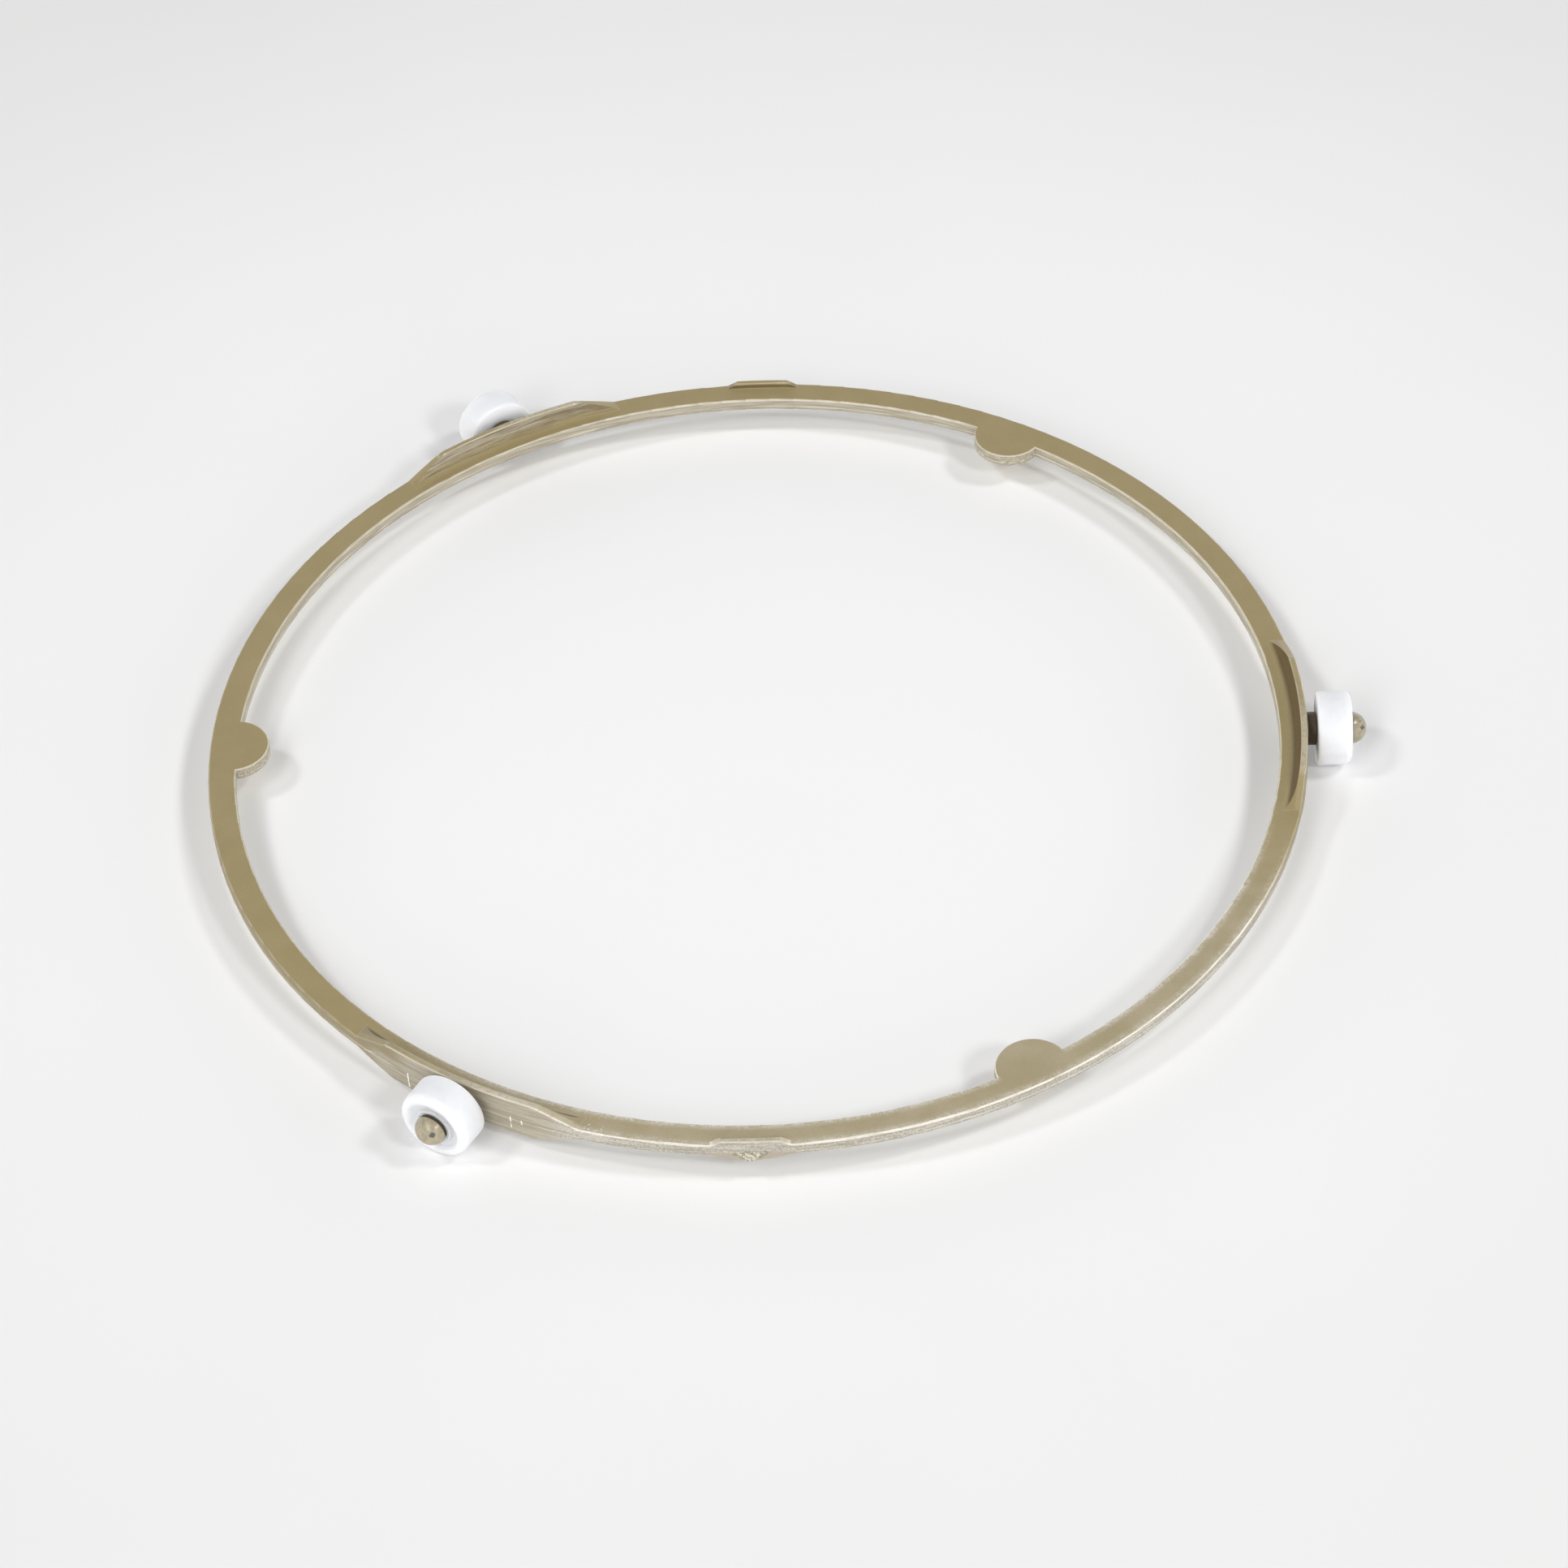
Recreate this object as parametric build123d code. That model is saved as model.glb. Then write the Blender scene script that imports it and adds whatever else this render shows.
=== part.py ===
from build123d import *
from math import radians, tan
import os

# A microwave turntable roller ring: a flat moulded ring that carries three loose rollers on short
# axle stubs. Its axis is Z, the oven floor is at z = 0 and the first roller points along +X.
# All lengths are in millimetres and angles in degrees.

# Rollers
roller_count = 3
roller_diameter = 14.0
roller_width = 6.5
roller_outer_round = 1.4
roller_inner_round = 0.5
rim_land = 0.3
dish_depth = 0.9
dish_slope = 0.35
dish_round = 0.3
hub_wall = 0.8
hub_drop = 0.35
hub_round = 0.2

# Axle stubs
journal_diameter = 5.5
running_clearance = 0.05
end_play = 0.15
collar_step = 0.4
collar_length = 1.65
head_gap = 0.5
head_catch = 0.225
head_shoulder = 0.25
head_rise = 2.6

# Ring section
ring_outer_radius = 104.5
ring_width = 5.3
ring_thickness = 2.6
edge_round = 0.35
draft_angle = 2.0
parting_drop = 0.4
ramp_sink = 0.5

# Roller brackets
bracket_height = 8.4
bracket_wall = 1.3
bracket_brow = 0.1
bracket_flat = 30.4
bracket_foot = 47.0
bracket_bend = 4.0

# Gate tabs
gate_angles = (90.0, 270.0)
gate_height = 4.8
gate_wall = 1.1
gate_brow = 0.35
gate_flat = 10.2
gate_foot = 14.2
gate_bend = 1.0
gate_belly = 15.6
belly_round = 0.2

# Broken gate stub on the outer face of one gate tab
stub_angle = 270.0
stub_width = 5.0
stub_tip_width = 1.4
stub_length = 2.1
stub_depth = 0.5
stub_taper = 25.0

# Half-round ejector tabs on the inner edge, midway between the rollers
tab_radius = 6.9
tab_reach = 6.0

# Worked-out places
axle_height = roller_diameter / 2
roller_spacing = 360.0 / roller_count
ring_half = ring_thickness / 2
ring_inner_radius = ring_outer_radius - ring_width
ring_middle_radius = ring_outer_radius - ring_width / 2
lean = tan(radians(draft_angle))
collar_end = ring_outer_radius + collar_length
roller_inner_face = collar_end + end_play
roller_outer_face = roller_inner_face + roller_width
bore_radius = journal_diameter / 2 + running_clearance
hub_face = roller_outer_face - hub_drop
shoulder_start = hub_face + head_gap


def side_lean(height):
    """How far a drafted side has leaned in at a height above the middle plane."""
    return lean * abs(height + parting_drop)


def ring_section():
    """The plain ring's section: both sides lean in from the parting line, and all corners are rounded."""
    shift = side_lean(ring_half)
    lower_shift = side_lean(-ring_half)
    outline = Polyline(
        (ring_outer_radius, -parting_drop),
        (ring_outer_radius - shift, ring_half),
        (ring_inner_radius + shift, ring_half),
        (ring_inner_radius, -parting_drop),
        (ring_inner_radius + lower_shift, -ring_half),
        (ring_outer_radius - lower_shift, -ring_half),
        close=True,
    )
    face = make_face(outline)
    corners = [v for v in face.vertices() if abs(v.Y) > parting_drop + edge_round]
    return fillet(corners, edge_round)


def wall_section(height, wall, brow):
    """The section of a wall on the ring's outer edge, above and below the ring, that curves into its faces."""
    half = height / 2
    inner_end = ring_inner_radius + 1.5 * edge_round
    upper = ring_outer_radius - side_lean(half)
    lower = ring_outer_radius - side_lean(-half)
    spread = lean * (half - ring_half)
    outline = Polyline(
        (ring_outer_radius, -parting_drop),
        (upper, half),
        (upper - wall, half),
        (upper - wall - spread, ring_half),
        (inner_end, ring_half),
        (inner_end, -ring_half),
        (lower - wall - spread, -ring_half),
        (lower - wall, -half),
        (lower, -half),
        close=True,
    )
    face = make_face(outline)
    middle = ring_outer_radius - wall / 2
    tips = [v for v in face.vertices() if v.X < middle and abs(v.Y) > half - edge_round]
    face = fillet(tips, edge_round)
    inner_side = [v for v in face.vertices() if inner_end + edge_round < v.X < middle]
    roots = [v for v in inner_side if abs(v.Y) < ring_half + edge_round]
    return fillet(roots, half - ring_half - edge_round - brow)


def ramp(height, flat, foot, bend):
    """The upper half of a wall's outline, seen from outside: a flat top with a ramp at each end."""
    half = height / 2
    run_per_rise = (foot - flat) / 2 / (half - ring_half)
    wide = foot / 2 + ramp_sink * run_per_rise
    outline = Polyline(
        (wide, 0),
        (wide, ring_half - ramp_sink),
        (flat / 2, half),
        (-flat / 2, half),
        (-wide, ring_half - ramp_sink),
        (-wide, 0),
        close=True,
    )
    face = make_face(outline)
    return fillet([v for v in face.vertices() if v.Y > half - edge_round], bend)


def belly():
    """The lower half of a gate tab's outline: a shallow arc."""
    half = gate_height / 2
    top = Line((-gate_belly / 2, 0), (gate_belly / 2, 0))
    left = Line((-gate_belly / 2, 0), (-gate_belly / 2, ramp_sink - ring_half))
    right = Line((gate_belly / 2, 0), (gate_belly / 2, ramp_sink - ring_half))
    return make_face([top, left, right, ThreePointArc(left @ 1, (0, -half), right @ 1)])


def outer_rim(solid, wall, side):
    """The edges along a wall's outer rim, above the ring for side 1 and below it for side -1."""
    rim = []
    for edge in solid.edges():
        middle = edge @ 0.5
        outside = Vector(middle.X, middle.Y).length > ring_outer_radius - wall / 2
        if outside and side * middle.Z > ring_half and abs((edge % 0.5).X) < 0.5:
            rim.append(edge)
    return rim


def upright(section, outline, wall, lower_round):
    """A wall at +X with that section and outline, its outer rim rounded all along."""
    turned = revolve(Plane.XZ * section, Axis.Z)
    solid = turned & extrude(Plane.YZ * outline, ring_outer_radius + wall)
    solid = fillet(outer_rim(solid, wall, 1), edge_round)
    return fillet(outer_rim(solid, wall, -1), lower_round)


def bracket():
    """The wall that carries an axle stub, with a ramp at each end above and below the ring."""
    upper = ramp(bracket_height, bracket_flat, bracket_foot, bracket_bend)
    section = wall_section(bracket_height, bracket_wall, bracket_brow)
    outline = upper + mirror(upper, Plane.XZ)
    return upright(section, outline, bracket_wall, edge_round) + axle()


def gate_tab():
    """The small wall where the resin entered the mould, ramped above and rounded below."""
    upper = ramp(gate_height, gate_flat, gate_foot, gate_bend)
    section = wall_section(gate_height, gate_wall, gate_brow)
    return upright(section, upper + belly(), gate_wall, belly_round)


def ejector_tab():
    """A half-round tab at +X on the ring's inner edge, flush with both faces."""
    shift = side_lean(ring_half)
    lower_shift = side_lean(-ring_half)
    outline = Polyline(
        (0, ring_half),
        (tab_radius - shift, ring_half),
        (tab_radius, -parting_drop),
        (tab_radius - lower_shift, -ring_half),
        (0, -ring_half),
        close=True,
    )
    face = make_face(outline)
    corners = [v for v in face.vertices() if v.X > tab_radius / 2 and abs(v.Y) > parting_drop + edge_round]
    face = fillet(corners, edge_round)
    disc = revolve(Plane.XZ * face, Axis.Z)
    centre = ring_inner_radius - tab_reach + tab_radius
    return Pos(X=centre) * disc & Cylinder(ring_middle_radius, ring_thickness)


def axle():
    """A stub along +X: collar, journal and a domed snap head."""
    root = ring_outer_radius - bracket_wall / 2
    journal_radius = journal_diameter / 2
    collar_radius = journal_radius + collar_step
    head_radius = bore_radius + head_catch
    dome_start = shoulder_start + head_shoulder
    tip = dome_start + head_rise
    sides = Polyline(
        (tip, 0),
        (root, 0),
        (root, collar_radius),
        (collar_end, collar_radius),
        (collar_end, journal_radius),
        (shoulder_start, journal_radius),
        (dome_start, head_radius),
    )
    dome = TangentArc((tip, 0), (dome_start, head_radius), tangent=(0, 1))
    return revolve(Plane.XZ * make_face([sides, dome]), Axis.X)


def gate_stub():
    """What is left of the moulding gate where it was twisted off: a small tapered lump below the parting line."""
    profile = Polyline(
        (-stub_width / 2, -parting_drop),
        (stub_width / 2, -parting_drop),
        (stub_tip_width / 2, -parting_drop - stub_length),
        (-stub_tip_width / 2, -parting_drop - stub_length),
        close=True,
    )
    base = ring_outer_radius - gate_wall / 2
    return extrude(Plane.YZ.offset(base) * make_face(profile), stub_depth + gate_wall / 2, taper=stub_taper)


def support_ring():
    """The whole moulding: ring, brackets, tabs and axle stubs as one piece."""
    body = revolve(Plane.XZ * ring_section(), Axis.Z)
    carrier = bracket()
    tab = ejector_tab()
    gate = gate_tab()
    for index in range(roller_count):
        body += Rot(Z=index * roller_spacing) * carrier
        body += Rot(Z=(index + 0.5) * roller_spacing) * tab
    for angle in gate_angles:
        body += Rot(Z=angle) * gate
    body += Rot(Z=stub_angle) * gate_stub()
    return Pos(Z=axle_height) * body


def roller():
    """A roller on +X: rounded tread, a dished outer face and a hub round the bore."""
    radius = roller_diameter / 2
    hub_radius = bore_radius + hub_wall
    dish_radius = radius - roller_outer_round - rim_land
    dish_floor = roller_outer_face - dish_depth
    outline = Polyline(
        (roller_inner_face, bore_radius),
        (roller_inner_face, radius),
        (roller_outer_face, radius),
        (roller_outer_face, dish_radius),
        (dish_floor, dish_radius - dish_slope),
        (dish_floor, hub_radius),
        (hub_face, hub_radius),
        (hub_face, bore_radius),
        close=True,
    )
    face = make_face(outline)
    floor_width = dish_radius - dish_slope - hub_radius
    rounds = {
        (roller_inner_face, radius): roller_inner_round,
        (roller_outer_face, radius): roller_outer_round,
        (roller_outer_face, dish_radius): dish_round,
        (dish_floor, dish_radius - dish_slope): min(dish_round, 0.4 * floor_width),
        (dish_floor, hub_radius): min(dish_round, 0.4 * floor_width),
        (hub_face, hub_radius): hub_round,
        (hub_face, bore_radius): hub_round,
    }
    for place, size in rounds.items():
        corner = face.vertices().sort_by_distance(Vector(*place))[0]
        face = fillet(corner, size)
    return Pos(Z=axle_height) * revolve(Plane.XZ * face, Axis.X)


os.makedirs("parts", exist_ok=True)
export_step(support_ring(), "parts/support_ring.step")
for index in range(roller_count):
    turned = Rot(Z=index * roller_spacing) * roller()
    export_step(turned, f"parts/roller_{index + 1}.step")
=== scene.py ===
from math import cos, pi, radians, sin

import bpy
from mathutils import Matrix, Vector


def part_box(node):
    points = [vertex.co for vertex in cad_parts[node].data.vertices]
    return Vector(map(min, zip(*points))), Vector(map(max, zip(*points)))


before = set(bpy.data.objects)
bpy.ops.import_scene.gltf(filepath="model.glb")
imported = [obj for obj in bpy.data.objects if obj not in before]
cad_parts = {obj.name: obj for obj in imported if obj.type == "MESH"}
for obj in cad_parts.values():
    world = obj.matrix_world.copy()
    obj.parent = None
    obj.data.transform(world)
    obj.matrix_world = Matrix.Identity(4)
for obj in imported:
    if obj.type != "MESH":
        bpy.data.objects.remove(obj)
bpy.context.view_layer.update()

# Sizes in metres, angles in degrees. The ring's axis is Z and the first roller points along +X.
MM = 0.001
RING_WIDTH = 5.3 * MM
RING_THICKNESS = 2.6 * MM
PARTING_DROP = 0.4 * MM
BRACKET_WALL = 1.3 * MM
BRACKET_RISE = 2.9 * MM
BRACKET_HALF = 24 * MM
GATE_BELLY = 15.6 * MM
TORN_WIDTH = 5.6 * MM
TORN_TIP_WIDTH = 1.2 * MM
TORN_LENGTH = 2.2 * MM
ring_low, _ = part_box("support_ring")
roller_low, roller_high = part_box("roller_1")
RING_OUTER = -ring_low.x
RING_INNER = RING_OUTER - RING_WIDTH
AXLE_HEIGHT = (roller_low.z + roller_high.z) / 2
RING_TOP = AXLE_HEIGHT + RING_THICKNESS / 2
RING_BOTTOM = AXLE_HEIGHT - RING_THICKNESS / 2
BRACKET_TOP = RING_TOP + BRACKET_RISE
PARTING = AXLE_HEIGHT - PARTING_DROP

# Places round the ring
ROLLER_ANGLES = {"roller_1": 0.0, "roller_2": 120.0, "roller_3": 240.0}
FRONT_ANGLE = 288.0
SPECK_ANGLE = 254.5
GATE_ANGLE = 270.0
BACK_GATE_ANGLE = 90.0
FRONT_TAB_ANGLE = 300.0

# Nicks on the outer face of the third bracket: angle, lower and upper height, half width and slant
NICKS = (
    (233.9, RING_TOP - 4.9 * MM, RING_TOP - 1.3 * MM, 0.11 * MM, 0.0),
    (245.9, RING_TOP - 4.0 * MM, RING_TOP - 1.2 * MM, 0.09 * MM, 0.0),
    (247.1, RING_TOP - 2.4 * MM, RING_TOP - 1.4 * MM, 0.09 * MM, 0.0),
    (228.9, RING_TOP - 1.9 * MM, RING_TOP - 1.1 * MM, 0.12 * MM, 3.2),
)
# Grey marks on the axle heads: roller angle, reach from the ring's axis, shift sideways, height and radius
HEAD_MARKS = (
    (240.0, 115.0 * MM, 1.55 * MM, AXLE_HEIGHT + 1.35 * MM, 0.55 * MM),
    (0.0, 114.9 * MM, -1.54 * MM, AXLE_HEIGHT + 1.51 * MM, 0.50 * MM),
    (0.0, 114.5 * MM, -0.70 * MM, AXLE_HEIGHT + 2.44 * MM, 0.25 * MM),
)
# Worn end of each bracket's top: where along it the wear begins and where it is full
WORN_ENDS = {
    "roller_1": (5 * MM, -3 * MM),
    "roller_2": (5 * MM, -3 * MM),
    "roller_3": (-5 * MM, 4 * MM),
}

# Noise on the ring, in waves a metre, and streaks along it, in waves a metre across and waves a turn along
GRAIN_WAVES = 5200.0
CRUMB_WAVES = 2600.0
PATCH_WAVES = 900.0
CLOUD_WAVES = 130.0
STREAK_WAVES, STREAK_TURN_WAVES = 2600.0, 12.0
FINE_STREAK_WAVES, FINE_STREAK_TURN_WAVES = 6000.0, 26.0

# Colours
TAN = (0.342, 0.275, 0.140, 1)
TAN_DEEP = (0.322, 0.258, 0.128, 1)
# SHADE_TAN is painted shade: darker tan on the outer walls away from the front and at the left end of the
# third bracket
SHADE_TAN = (0.265, 0.215, 0.115, 1)
SIDE_PALE = (0.435, 0.395, 0.310, 1)
SIDE_DEEP = (0.315, 0.275, 0.195, 1)
FRONT_PALE = (0.520, 0.485, 0.420, 1)
FRONT_DEEP = (0.335, 0.305, 0.248, 1)
# RUBBED_HIGHLIGHT is pale wear that is partly a painted highlight, on rounded edges and along the parting
# line
RUBBED_HIGHLIGHT = (0.82, 0.775, 0.675, 1)
# HAZE_AND_SHEEN is the scuffed haze at the front edges, and also the painted sheen over the front's upper
# face
HAZE_AND_SHEEN = (0.65, 0.615, 0.545, 1)
WALL_TOP = (0.53, 0.475, 0.360, 1)
# GROOVE_SHADE is painted shade in the grooves at the brackets' wall roots and at the back gate tab's root
GROOVE_SHADE = (0.125, 0.085, 0.031, 1)
STREAK_BROWN = (0.165, 0.128, 0.070, 1)
COLLAR_SHADE = (0.095, 0.072, 0.048, 1)
JOURNAL_SHADE_AND_GRIME = (0.065, 0.052, 0.038, 1)
HEAD_TAN = (0.40, 0.345, 0.235, 1)
MARK_GREY = (0.060, 0.058, 0.055, 1)
TORN = (0.72, 0.695, 0.575, 1)
TORN_SHADE = (0.36, 0.320, 0.230, 1)
BELLY_ROSE = (0.41, 0.355, 0.270, 1)
NICK_WHITE = (0.86, 0.835, 0.770, 1)
ROLLER_WHITE = (0.760, 0.767, 0.795, 1)
ROLLER_WORN = (0.715, 0.722, 0.748, 1)
FLOOR_NEAR = (0.900, 0.900, 0.903, 1)
FLOOR_FAR_SHADE = (0.805, 0.805, 0.802, 1)


class Shader:
    """Builds one material's nodes."""

    def __init__(self, name):
        self.material = bpy.data.materials.new(name)
        self.material.use_nodes = True
        self.tree = self.material.node_tree
        self.surface = self.tree.nodes["Principled BSDF"]

    def feed(self, socket, value):
        if isinstance(value, bpy.types.NodeSocket):
            self.tree.links.new(value, socket)
        else:
            socket.default_value = value

    def add(self, kind, sockets, **settings):
        node = self.tree.nodes.new(kind)
        for name, value in settings.items():
            setattr(node, name, value)
        for name, value in sockets.items():
            self.feed(node.inputs[name], value)
        return node

    def set(self, **sockets):
        """Feeds the surface's own sockets, named with underscores for spaces."""
        for name, value in sockets.items():
            self.feed(self.surface.inputs[name.replace("_", " ")], value)

    def math(self, operation, *values):
        node = self.add("ShaderNodeMath", {}, operation=operation)
        for socket, value in zip(node.inputs, values):
            self.feed(socket, value)
        return node.outputs[0]

    def product(self, first, *others):
        for other in others:
            first = self.math("MULTIPLY", first, other)
        return first

    def less(self, share):
        """What a share leaves of 1."""
        return self.math("SUBTRACT", 1.0, share)

    def most(self, first, *others):
        for other in others:
            first = self.math("MAXIMUM", first, other)
        return first

    def ramp(self, value, low, high, start=0.0, end=1.0):
        """Goes smoothly from start at low to end at high. Low may be the larger."""
        sockets = {"Value": value, "From Min": low, "From Max": high, "To Min": start, "To Max": end}
        return self.add("ShaderNodeMapRange", sockets, interpolation_type="SMOOTHSTEP").outputs["Result"]

    def band(self, value, middle, half, soft):
        """1 within half of the middle, fading to 0 over soft."""
        away = self.math("ABSOLUTE", self.math("SUBTRACT", value, middle))
        return self.ramp(away, half + soft, half)

    def noise(self, place, waves, detail):
        sockets = {"Vector": place, "Scale": waves, "Detail": detail}
        return self.add("ShaderNodeTexNoise", sockets).outputs["Fac"]

    def mix(self, share, first, second):
        node = self.add("ShaderNodeMix", {}, data_type="RGBA")
        share_socket, first_socket, second_socket = node.inputs[0], node.inputs[6], node.inputs[7]
        self.feed(share_socket, share)
        self.feed(first_socket, first)
        self.feed(second_socket, second)
        return node.outputs[2]

    def pair(self, operation, first, second, result):
        """A result of two vectors."""
        node = self.add("ShaderNodeVectorMath", {}, operation=operation)
        self.feed(node.inputs[0], first)
        self.feed(node.inputs[1], second)
        return node.outputs[result]

    def dot(self, vector, direction):
        return self.pair("DOT_PRODUCT", vector, direction, "Value")

    def distance(self, place, spot):
        return self.pair("DISTANCE", place, spot, "Value")

    def scaled(self, vector, factor):
        node = self.add("ShaderNodeVectorMath", {"Scale": factor}, operation="SCALE")
        self.feed(node.inputs[0], vector)
        return node.outputs["Vector"]

    def vector(self, x, y, z):
        return self.add("ShaderNodeCombineXYZ", {"X": x, "Y": y, "Z": z}).outputs[0]

    def split(self, vector):
        return self.add("ShaderNodeSeparateXYZ", {"Vector": vector}).outputs

    def bump(self, height, depth, under=None):
        sockets = {"Height": height, "Distance": depth}
        if under is not None:
            sockets["Normal"] = under
        return self.add("ShaderNodeBump", sockets).outputs["Normal"]


class RingShader(Shader):
    """The ring's material: where a point of the ring lies, the noises there, and the tone painted so far."""

    def __init__(self, name):
        super().__init__(name)
        coordinates = self.add("ShaderNodeTexCoord", {}).outputs
        self.place = coordinates["Object"]
        self.x, self.y, self.height = self.split(self.place)
        squares = self.math("ADD", self.product(self.x, self.x), self.product(self.y, self.y))
        self.radius = self.math("SQRT", squares)
        self.slope = self.math("ABSOLUTE", self.split(coordinates["Normal"])[2])
        self.find_noises()
        self.find_faces()
        self.find_stretches()
        self.tone = TAN

    def find_noises(self):
        self.grain = self.noise(self.place, GRAIN_WAVES, 3.0)
        self.cloud = self.noise(self.place, CLOUD_WAVES, 4.0)
        self.patch = self.noise(self.place, PATCH_WAVES, 4.0)
        self.crumb = self.noise(self.place, CRUMB_WAVES, 2.0)
        self.streak = self.streaks(STREAK_WAVES, STREAK_TURN_WAVES)
        self.fine_streak = self.streaks(FINE_STREAK_WAVES, FINE_STREAK_TURN_WAVES)

    def find_faces(self):
        """Shares, from 0 to 1, of the faces that a point may lie on."""
        wall_inside = RING_OUTER - BRACKET_WALL
        self.side = self.ramp(self.slope, 0.8, 0.35)
        self.top = self.ramp(self.slope, 0.93, 0.99)
        self.steep = self.ramp(self.slope, 1.0, 0.8)
        self.lifted = self.ramp(self.height, RING_TOP + 0.02 * MM, RING_TOP + 0.18 * MM)
        self.behind_wall = self.ramp(self.radius, wall_inside + 0.05 * MM, wall_inside - 0.2 * MM)
        self.outside = self.ramp(self.radius, RING_OUTER - 0.6 * MM, RING_OUTER - 0.3 * MM)
        self.inside = self.ramp(self.radius, RING_INNER + 0.75 * MM, RING_INNER + 0.5 * MM)

    def find_stretches(self):
        """Shares, from 0 to 1, of the stretches of the ring that have a look of their own."""
        self.front = self.stretch(FRONT_ANGLE, 66 * MM, 24 * MM)
        self.second = self.stretch(ROLLER_ANGLES["roller_2"], 30 * MM, 10 * MM)
        self.third = self.stretch(ROLLER_ANGLES["roller_3"], 17 * MM, 5 * MM)
        self.gate = self.stretch(GATE_ANGLE, GATE_BELLY / 2, 0.4 * MM)
        self.back_gate = self.stretch(BACK_GATE_ANGLE, GATE_BELLY / 2, 0.4 * MM)
        self.tab = self.stretch(FRONT_TAB_ANGLE, 6 * MM, 1.5 * MM)

    def across(self, angle):
        """Distance along the tangent from the place on the ring at that angle."""
        turn = radians(angle)
        return self.dot(self.place, (-sin(turn), cos(turn), 0))

    def stretch(self, angle, half, soft):
        """1 along a stretch of the ring round that angle, fading to 0 over soft at each end."""
        turn = radians(angle)
        near = self.math("GREATER_THAN", self.dot(self.place, (cos(turn), sin(turn), 0)), 0.0)
        return self.product(self.band(self.across(angle), 0.0, half, soft), near)

    def bracket(self, angle):
        """1 along the bracket at that angle."""
        return self.stretch(angle, BRACKET_HALF, 2 * MM)

    def streaks(self, waves, turn_waves):
        """Noise drawn out along the ring, with no seam."""
        share = self.math("DIVIDE", turn_waves, self.radius)
        round_x = self.product(self.x, share)
        round_y = self.product(self.y, share)
        flow = self.vector(round_x, round_y, self.product(self.height, waves))
        sockets = {"Vector": flow, "W": self.product(self.radius, waves), "Scale": 1.0, "Detail": 3.0}
        return self.add("ShaderNodeTexNoise", sockets, noise_dimensions="4D").outputs["Fac"]

    def paint(self, share, colour):
        """Lays a colour over the tone so far."""
        self.tone = self.mix(share, self.tone, colour)


def paint_upper_face(ring):
    """Tan, with a pale painted sheen at the front."""
    ring.tone = ring.mix(ring.ramp(ring.cloud, 0.3, 0.7), TAN_DEEP, TAN)
    # Painted sheen: a pale veil over the upper face at the front stands in for its reflection
    painted_sheen = ring.ramp(ring.cloud, 0.3, 0.7, 0.15, 0.24)
    ring.paint(ring.product(ring.front, painted_sheen), HAZE_AND_SHEEN)


def paint_sides(ring):
    """Streaked, palest round the front, and darker tan painted shade elsewhere and at the upper left of the
    third bracket.
    """
    away_from_front = ring.product(ring.less(ring.front), ring.less(ring.third))
    sides = ring.mix(ring.ramp(ring.streak, 0.36, 0.64), SIDE_DEEP, SIDE_PALE)
    rough_cast = ring.math("ADD", ring.product(ring.streak, 0.5), ring.product(ring.crumb, 0.5))
    bright = ring.mix(ring.ramp(rough_cast, 0.40, 0.60), FRONT_DEEP, FRONT_PALE)
    sides = ring.mix(ring.product(ring.front, ring.outside, ring.less(ring.third)), sides, bright)
    upward = ring.ramp(ring.height, RING_BOTTOM, RING_TOP, 0.6, 0.95)
    # Painted shade: darker tan over the outer walls away from the front
    sides = ring.mix(ring.product(ring.outside, away_from_front, upward), sides, SHADE_TAN)
    # Painted shade on the upper left end of the third bracket's outer face and on its ramp
    left_end = ring.ramp(ring.across(ROLLER_ANGLES["roller_3"]), -9 * MM, -16 * MM)
    left_end = ring.product(left_end, ring.bracket(ROLLER_ANGLES["roller_3"]))
    upper = ring.ramp(ring.height, RING_TOP - 1.2 * MM, RING_TOP + 1.2 * MM, 0.0, 0.9)
    sides = ring.mix(ring.product(left_end, ring.outside, upper), sides, SHADE_TAN)
    ring.paint(ring.product(left_end, ring.lifted, 0.6), SHADE_TAN)
    ring.paint(ring.side, sides)


def paint_groove_shade(ring):
    """The grooves behind the brackets' walls: dark painted shade, but worn pale and streaked at the second.
    """
    groove = ring.product(ring.lifted, ring.behind_wall, ring.steep)
    brown = ring.ramp(ring.streak, 0.38, 0.60, 0.85, 0.25)
    pale = ring.ramp(ring.fine_streak, 0.48, 0.66, 0.0, 0.35)
    # Painted shade: dark in the grooves at the roots of the walls
    ring.paint(ring.product(groove, ring.less(ring.second), 0.95), GROOVE_SHADE)
    ring.paint(ring.product(groove, ring.second, brown), STREAK_BROWN)
    ring.paint(ring.product(groove, ring.second, pale), SIDE_PALE)
    return groove


def paint_back_gate_tab(ring):
    """The inner face of the gate tab at the back, with a dark line of painted shade at its root."""
    raised = ring.ramp(ring.height, RING_TOP + 0.02 * MM, RING_TOP + 0.1 * MM)
    root = ring.ramp(ring.height, RING_TOP + 1.05 * MM, RING_TOP + 0.35 * MM)
    face = ring.product(ring.back_gate, raised)
    ring.paint(face, TAN)
    # Painted shade along the tab's root
    ring.paint(ring.product(face, ring.steep, root), GROOVE_SHADE)


def paint_bracket_tops(ring):
    """The tops of the brackets' walls, each worn towards one end."""
    high = ring.ramp(ring.height, BRACKET_TOP - 0.6 * MM, BRACKET_TOP - 0.3 * MM)
    brow = ring.product(high, ring.less(ring.behind_wall))
    mottle = ring.ramp(ring.patch, 0.3, 0.6, 0.3, 0.9)
    for name, (begin, full) in WORN_ENDS.items():
        angle = ROLLER_ANGLES[name]
        worn = ring.ramp(ring.across(angle), begin, full, 0.15, 1.0)
        ring.paint(ring.product(brow, ring.top, ring.bracket(angle), worn, mottle), WALL_TOP)
    return brow


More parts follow.
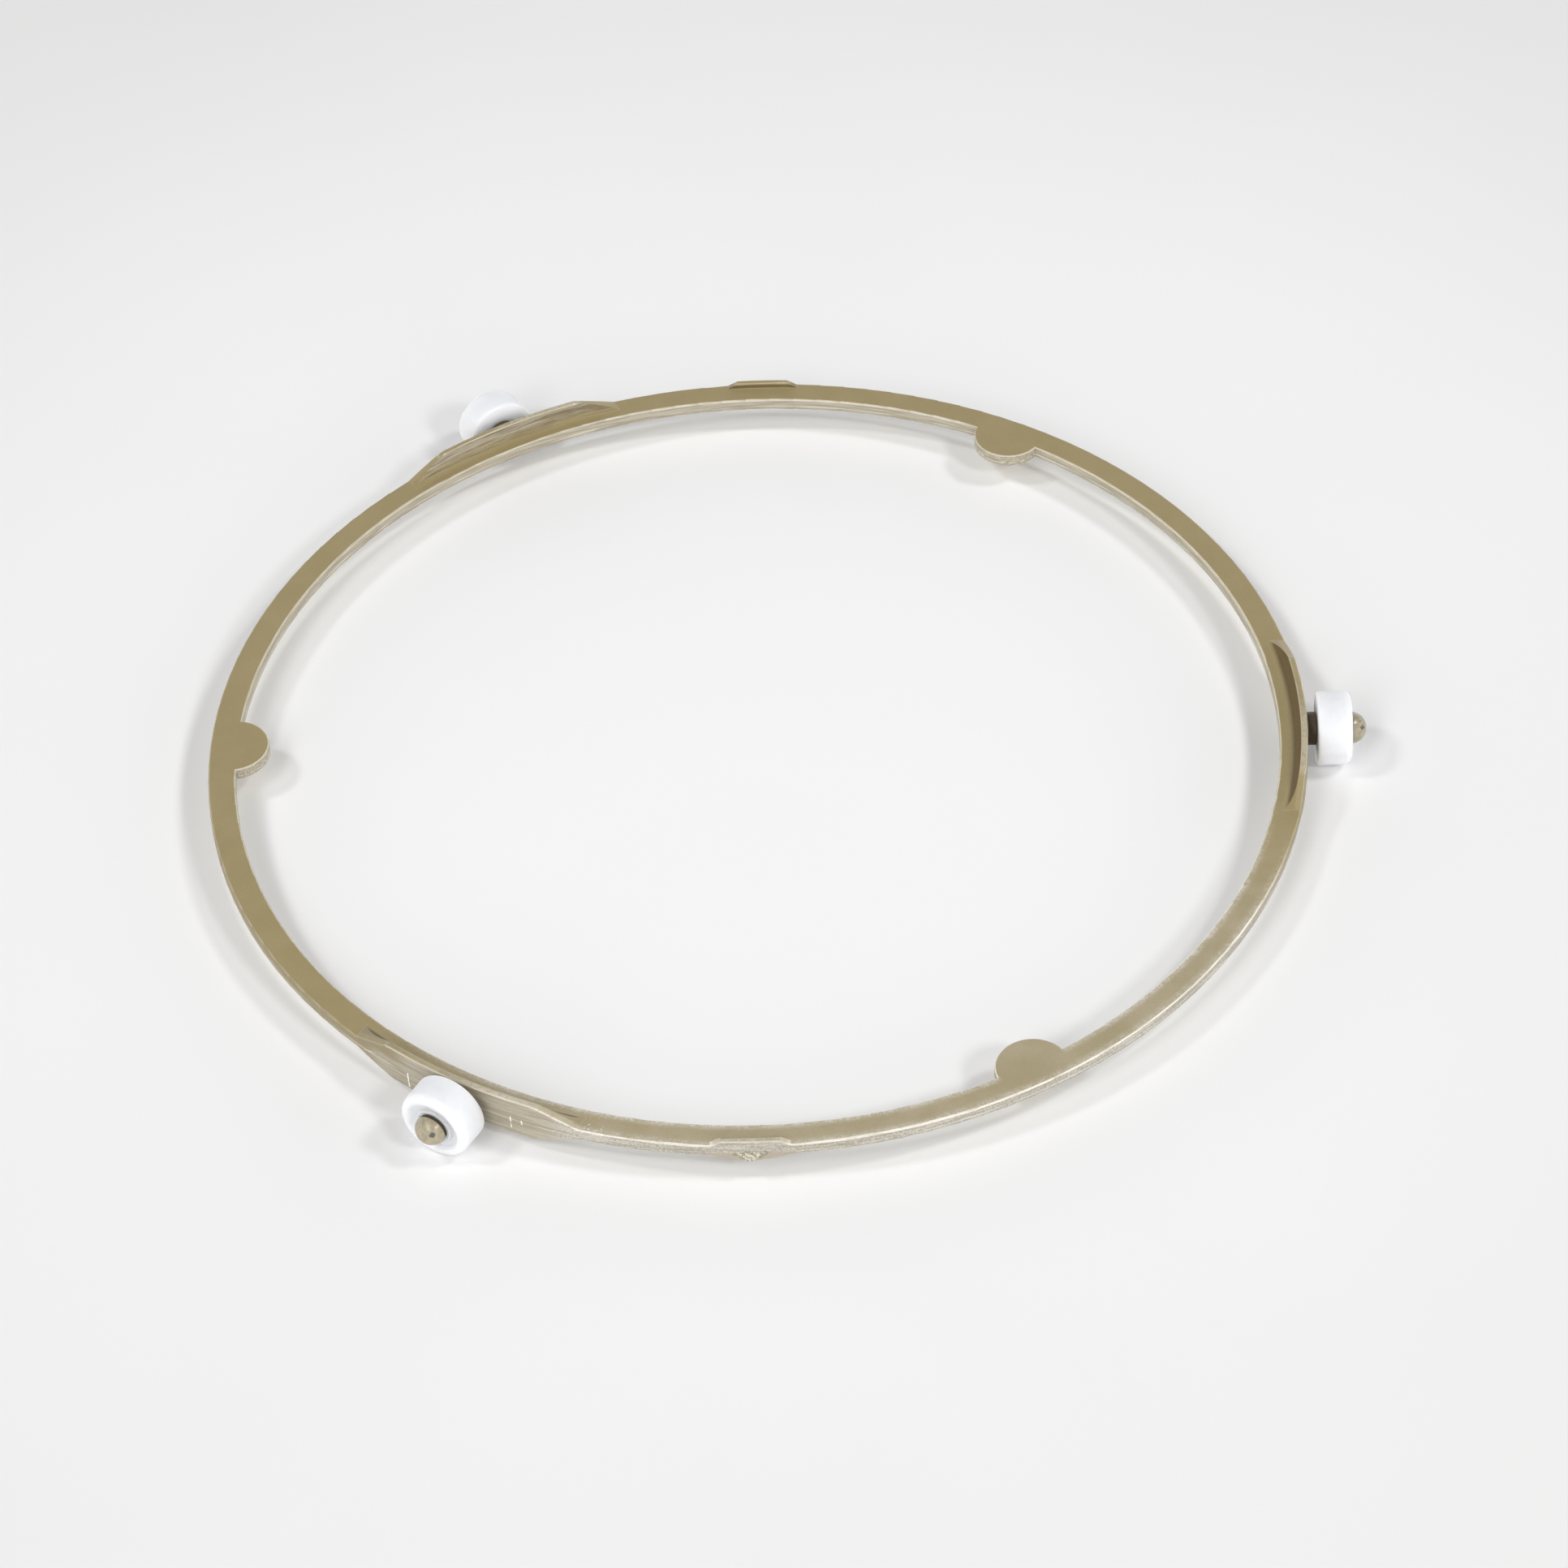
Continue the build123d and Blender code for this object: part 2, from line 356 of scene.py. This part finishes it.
def paint_front_haze(ring):
    """Scuffed haze along both edges of the upper face at the front."""
    outer = ring.ramp(ring.radius, RING_OUTER - 1.9 * MM, RING_OUTER - 0.4 * MM)
    inner = ring.ramp(ring.radius, RING_INNER + 1.8 * MM, RING_INNER + 0.2 * MM)
    within = ring.ramp(ring.radius, RING_INNER - 0.3 * MM, RING_INNER)
    inner = ring.product(inner, ring.less(ring.tab), within)
    edges = ring.most(ring.product(outer, 0.6), inner)
    scuff = ring.ramp(ring.patch, 0.30, 0.62, 0.4, 1.0)
    speckle = ring.ramp(ring.crumb, 0.36, 0.60, 0.4, 1.0)
    haze = ring.product(edges, scuff, speckle, ring.front, ring.top)
    ring.paint(haze, HAZE_AND_SHEEN)
    return haze


def paint_rubbed_highlights(ring, brow):
    """Pale wear, partly painted highlight, on the rounds, where the surface turns from level to upright, but
    not in the walls' roots.
    """
    rounded = ring.product(ring.ramp(ring.slope, 0.985, 0.86), ring.ramp(ring.slope, 0.12, 0.5))
    near_top = ring.ramp(ring.height, RING_TOP + 0.5 * MM, RING_TOP + 0.4 * MM)
    inward = ring.ramp(ring.radius, RING_OUTER - 0.95 * MM, RING_OUTER - 1.1 * MM)
    root = ring.most(ring.behind_wall, ring.product(near_top, inward))
    root = ring.product(root, ring.less(ring.inside))
    brow_wear = ring.product(brow, ring.ramp(ring.second, 0.0, 1.0, 0.45, 0.8))
    front_wear_and_highlight = ring.product(ring.front, ring.ramp(ring.lifted, 0.0, 1.0, 1.0, 0.7))
    wear = ring.most(ring.product(ring.inside, 0.5), brow_wear, 0.12, front_wear_and_highlight)
    under = ring.ramp(ring.height, RING_BOTTOM + 0.9 * MM, RING_BOTTOM + 0.5 * MM, 1.0, 0.25)
    under = ring.most(under, ring.product(ring.gate, 0.8))
    gate_rim = ring.ramp(ring.height, RING_TOP + 0.2 * MM, RING_TOP + 0.5 * MM)
    gate_rim = ring.product(ring.gate, gate_rim, 0.45)
    uneven = ring.ramp(ring.fine_streak, 0.32, 0.55, 0.45, 1.0)
    rubbed_highlight = ring.product(rounded, wear, under, ring.less(gate_rim), ring.less(root), uneven)
    # Partly painted highlight: pale lines on the rounded edges, strongest at the front and on the inner edges
    ring.paint(rubbed_highlight, RUBBED_HIGHLIGHT)
    return rubbed_highlight


def paint_parting_line(ring):
    """A thin broken pale line round the sides, partly a painted highlight along the parting line."""
    line = ring.band(ring.height, PARTING, 0.05 * MM, 0.07 * MM)
    broken = ring.ramp(ring.streak, 0.35, 0.6)
    ring.paint(ring.product(line, ring.side, broken, 0.6), RUBBED_HIGHLIGHT)


def paint_axles(ring):
    """The axle stubs: a collar darkened with painted shade, a journal dark with painted shade and grime, and
    a tan head with grey marks.
    """
    collar = ring.ramp(ring.radius, RING_OUTER + 0.05 * MM, RING_OUTER + 0.2 * MM)
    journal = ring.ramp(ring.radius, roller_low.x, roller_low.x + 0.1 * MM)
    head = ring.ramp(ring.radius, roller_high.x + 0.12 * MM, roller_high.x + 0.2 * MM)
    # Painted shade: the collar between the wall and the roller is painted dark brown
    ring.paint(collar, COLLAR_SHADE)
    # Painted shade and grime: the journal in the gap under the head is painted near black
    ring.paint(journal, JOURNAL_SHADE_AND_GRIME)
    ring.paint(head, ring.mix(ring.ramp(ring.patch, 0.35, 0.65), HEAD_TAN, SIDE_DEEP))
    ragged = ring.ramp(ring.patch, 0.3, 0.7, -0.25 * MM, 0.25 * MM)
    for angle, reach, sideways, level, size in HEAD_MARKS:
        turn = radians(angle)
        spot_x = reach * cos(turn) - sideways * sin(turn)
        spot_y = reach * sin(turn) + sideways * cos(turn)
        away = ring.math("ADD", ring.distance(ring.place, (spot_x, spot_y, level)), ragged)
        mark = ring.ramp(away, size + 0.1 * MM, size - 0.1 * MM)
        ring.paint(ring.product(mark, 0.9), MARK_GREY)
    return collar, head


def paint_gate(ring):
    """The front gate tab's lower half, and the torn gate on it, with painted shade in its rough texture."""
    below = ring.ramp(ring.height, PARTING + 0.02 * MM, PARTING - 0.08 * MM)
    ring.paint(ring.product(ring.gate, below, ring.outside, ring.side), BELLY_ROSE)
    reach = ring.ramp(ring.height, PARTING - TORN_LENGTH, PARTING, TORN_TIP_WIDTH / 2, TORN_WIDTH / 2)
    ragged = ring.ramp(ring.crumb, 0.3, 0.7, -0.5 * MM, 0.5 * MM)
    away = ring.math("ADD", ring.math("ABSOLUTE", ring.across(GATE_ANGLE)), ragged)
    torn = ring.ramp(ring.math("SUBTRACT", away, reach), 0.12 * MM, -0.12 * MM)
    upper_end = ring.ramp(ring.height, PARTING + 0.5 * MM, PARTING + 0.3 * MM)
    torn = ring.product(torn, ring.gate, ring.outside, upper_end)
    # Partly painted shade: darker patches in the torn gate's rough texture stand for the shadows of its bumps
    ring.paint(torn, ring.mix(ring.ramp(ring.crumb, 0.42, 0.55), TORN_SHADE, TORN))
    return torn


def paint_nicks(ring):
    """Pale nicks on the third bracket, and a few specks on the upper face beside it."""
    broken = ring.ramp(ring.patch, 0.3, 0.5)
    for angle, low, high, half, slant in NICKS:
        lift = ring.math("SUBTRACT", ring.height, (low + high) / 2)
        shift = ring.math("SUBTRACT", ring.across(angle), ring.product(lift, slant))
        width = ring.band(shift, 0.0, half, 0.08 * MM)
        length = ring.band(lift, 0.0, (high - low) / 2, 0.1 * MM)
        nearby = ring.stretch(angle, 4 * MM, 1 * MM)
        ring.paint(ring.product(width, length, ring.outside, nearby, broken), NICK_WHITE)
    dots = ring.ramp(ring.crumb, 0.66, 0.71)
    specks = ring.product(dots, ring.top, ring.stretch(SPECK_ANGLE, 1.6 * MM, 0.8 * MM))
    ring.paint(specks, NICK_WHITE)


def ring_resin():
    """Satin tan resin, paler on its sides, with worn edges that are partly painted highlights, scuffs and a
    torn gate, a painted sheen at the front, and painted shade in the grooves, on the collars and on the sides
    away from the front.
    """
    ring = RingShader("ring_resin")
    paint_upper_face(ring)
    paint_sides(ring)
    groove = paint_groove_shade(ring)
    paint_back_gate_tab(ring)
    brow = paint_bracket_tops(ring)
    haze = paint_front_haze(ring)
    rubbed_highlight = paint_rubbed_highlights(ring, brow)
    paint_parting_line(ring)
    collar, head = paint_axles(ring)
    torn = paint_gate(ring)
    paint_nicks(ring)

    mottled = ring.scaled(ring.tone, ring.ramp(ring.grain, 0.3, 0.7, 0.93, 1.06))
    rough = ring.ramp(ring.most(ring.side, haze, rubbed_highlight, torn), 0.0, 1.0, 0.40, 0.58)
    rough = ring.math("SUBTRACT", rough, ring.product(head, 0.24))
    dull = ring.most(groove, ring.product(collar, ring.less(head)))
    sheen = ring.ramp(dull, 0.0, 1.0, 0.5, 0.12)
    relief = ring.bump(ring.grain, 0.02 * MM)
    relief = ring.bump(ring.product(ring.streak, ring.side), 0.025 * MM, relief)
    relief = ring.bump(ring.product(ring.crumb, torn), 0.6 * MM, relief)
    ring.set(Base_Color=mottled, Roughness=rough, Specular_IOR_Level=sheen, Normal=relief)
    return ring.material


def roller_plastic(name, heading):
    """Smooth white fluoropolymer, slightly waxy, with a faintly worn tread."""
    s = Shader(name)
    coordinates = s.add("ShaderNodeTexCoord", {}).outputs
    place = coordinates["Object"]
    turn = radians(heading)
    outward = (cos(turn), sin(turn), 0)
    grain = s.noise(place, 2500.0, 3.0)
    cloud = s.noise(place, 420.0, 3.0)
    facing = s.math("ABSOLUTE", s.dot(coordinates["Normal"], outward))
    worn = s.product(s.ramp(facing, 0.3, 0.1), s.ramp(cloud, 0.4, 0.65))
    tone = s.mix(s.product(worn, 0.5), ROLLER_WHITE, ROLLER_WORN)
    inner = s.ramp(s.dot(place, outward), roller_low.x + 0.9 * MM, roller_low.x)
    tone = s.mix(s.product(inner, 0.4), tone, ROLLER_WORN)
    s.set(
        Base_Color=tone,
        Roughness=s.ramp(grain, 0.3, 0.7, 0.42, 0.55),
        Specular_IOR_Level=0.12,
        Subsurface_Weight=1.0,
        Subsurface_Radius=(1.0, 1.0, 1.0),
        Subsurface_Scale=5.0 * MM,
        Normal=s.bump(grain, 0.006 * MM),
    )
    return s.material


def floor_paper():
    """Matt white paper, a little darker away from the middle as painted shade of the light's falloff."""
    s = Shader("floor_paper")
    place = s.add("ShaderNodeTexCoord", {}).outputs["Object"]
    cloud = s.noise(place, 9.0, 3.0)
    fibre = s.noise(place, 1500.0, 3.0)
    away = s.distance(place, (0, 0.05, 0))
    # Painted shade: the light's falloff away from the middle is painted into the floor's colour
    share = s.math("ADD", s.ramp(away, 0.08, 0.30), s.ramp(cloud, 0.3, 0.7, -0.06, 0.06))
    tone = s.mix(share, FLOOR_NEAR, FLOOR_FAR_SHADE)
    s.set(Base_Color=tone, Roughness=0.9, Specular_IOR_Level=0.0, Normal=s.bump(fibre, 0.01 * MM))
    return s.material


def dress(node, material):
    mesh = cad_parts[node].data
    mesh.materials.clear()
    mesh.materials.append(material)


dress("support_ring", ring_resin())
for name, heading in ROLLER_ANGLES.items():
    dress(name, roller_plastic(f"{name}_plastic", heading))


# Floor
FLOOR_SIZE = 6.0
bpy.ops.mesh.primitive_plane_add(size=FLOOR_SIZE)
floor = bpy.context.object
floor.name = "floor"
floor.data.materials.append(floor_paper())


# Camera, with the photograph's place, direction and tilt
CAMERA_PLACE = Vector((0.03272, -0.67933, 0.65649))
CAMERA_HEADING = 2.359
CAMERA_TILT = 44.211
CAMERA_ROLL = 2.793
CAMERA_LENS = 113.30
CAMERA_SENSOR = 36.0
CAMERA_NEAR = 0.01
camera_data = bpy.data.cameras.new("camera")
camera_data.sensor_width = CAMERA_SENSOR
camera_data.lens = CAMERA_LENS
camera_data.clip_start = CAMERA_NEAR
camera = bpy.data.objects.new("camera", camera_data)
turn = Matrix.Rotation(radians(CAMERA_HEADING), 4, "Z")
turn @= Matrix.Rotation(radians(90 - CAMERA_TILT), 4, "X")
turn @= Matrix.Rotation(radians(-CAMERA_ROLL), 4, "Z")
camera.matrix_world = Matrix.Translation(CAMERA_PLACE) @ turn
bpy.context.scene.collection.objects.link(camera)
bpy.context.scene.camera = camera


# Lamps at the front and sides: heading from the front, height angle, size and share of the floor's light
LAMP_DISTANCE = 2.4
LAMPS = {
    "lamp_front_left": (-36.0, 53.0, 0.70, 0.121),
    "lamp_low_left": (-24.0, 37.0, 0.70, 0.105),
    "lamp_front_right": (42.0, 41.0, 0.36, 0.150),
    "lamp_right": (86.0, 52.0, 0.36, 0.170),
    "lamp_left": (-84.0, 55.0, 0.36, 0.145),
}
for name, (heading, lift, size, share) in LAMPS.items():
    lamp_data = bpy.data.lights.new(name, "AREA")
    lamp_data.size = size
    lamp_data.energy = share * pi ** 2 * LAMP_DISTANCE ** 2 / sin(radians(lift))
    lamp = bpy.data.objects.new(name, lamp_data)
    flat = LAMP_DISTANCE * cos(radians(lift))
    rise = LAMP_DISTANCE * sin(radians(lift))
    spot = Vector((flat * sin(radians(heading)), -flat * cos(radians(heading)), rise))
    lamp.location = spot
    lamp.rotation_euler = (-spot).to_track_quat("-Z", "Y").to_euler()
    bpy.context.scene.collection.objects.link(lamp)

# A pale room: bright near the horizon, dim overhead
HORIZON_GLOW = 1.75
ZENITH_GLOW = 0.04
GLOW_END = 40.0
GLOW_FULL = 10.0
world = bpy.data.worlds.new("world")
world.use_nodes = True
nodes, links = world.node_tree.nodes, world.node_tree.links
sky = nodes["Background"]
sky.inputs["Color"].default_value = (1.0, 1.0, 1.0, 1)
direction = nodes.new("ShaderNodeTexCoord")
parts = nodes.new("ShaderNodeSeparateXYZ")
glow = nodes.new("ShaderNodeMapRange")
glow.interpolation_type = "SMOOTHSTEP"
glow.inputs["From Min"].default_value = sin(radians(GLOW_FULL))
glow.inputs["From Max"].default_value = sin(radians(GLOW_END))
glow.inputs["To Min"].default_value = HORIZON_GLOW
glow.inputs["To Max"].default_value = ZENITH_GLOW
links.new(direction.outputs["Generated"], parts.inputs[0])
links.new(parts.outputs["Z"], glow.inputs["Value"])
links.new(glow.outputs["Result"], sky.inputs["Strength"])
bpy.context.scene.world = world

bpy.context.scene.view_settings.view_transform = "Standard"
